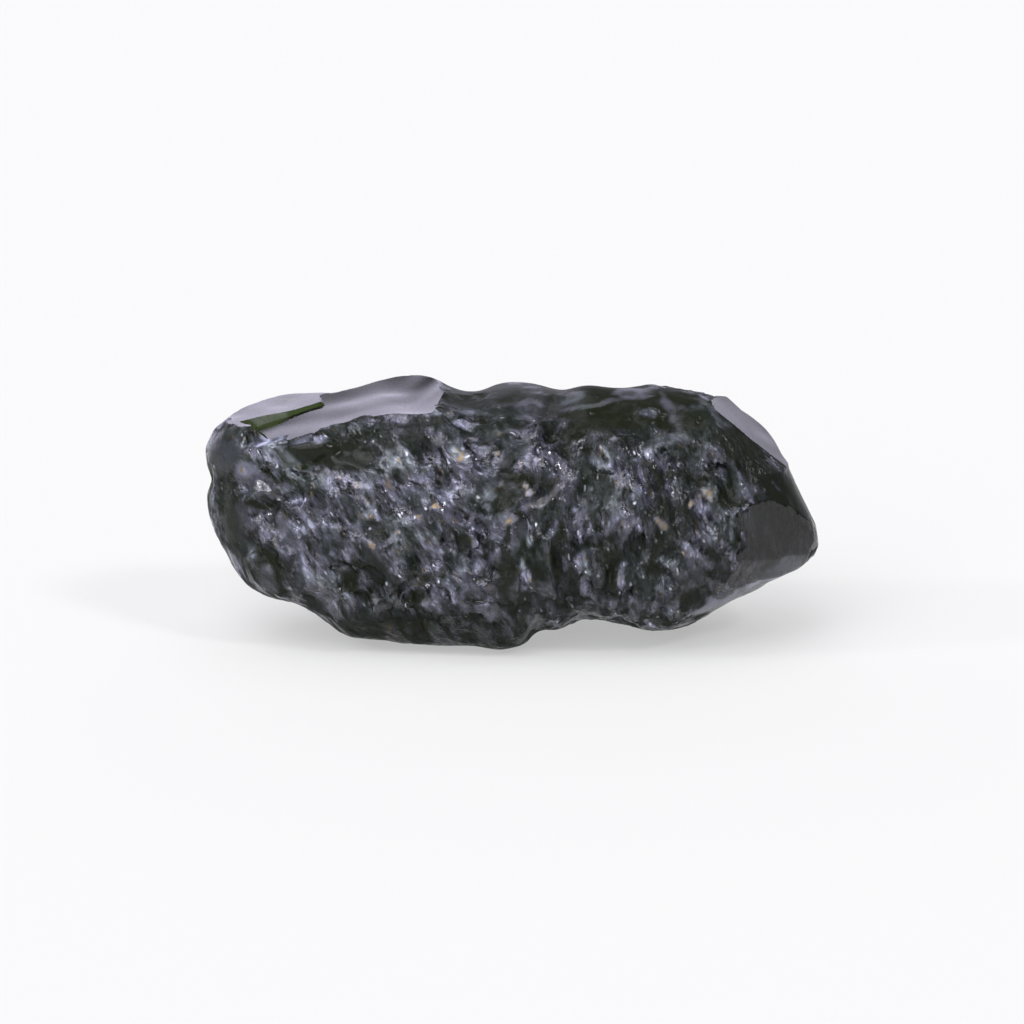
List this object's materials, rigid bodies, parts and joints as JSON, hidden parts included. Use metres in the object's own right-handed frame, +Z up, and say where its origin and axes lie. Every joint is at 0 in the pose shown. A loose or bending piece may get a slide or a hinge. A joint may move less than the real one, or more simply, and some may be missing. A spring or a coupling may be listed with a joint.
{
  "type": "raw moldavite",
  "caption": "Long raw piece of dark green natural glass, etched with pits and furrows all over, with smooth chipped faces on top and at one end; lies on a flat worn patch.",
  "frame": {"origin": "middle of the footprint, on the surface the stone lies on", "axes": "+X along the stone to its tapered end, +Y away from its broad front face, +Z up"},
  "size_m": [0.03, 0.0128, 0.0128],
  "materials": {
    "moldavite": "dark bottle green glass, satin where etched, glossy on the chipped faces"
  },
  "bodies": {
    "root": {"moldavite": "moldavite"}
  },
  "joints": []
}
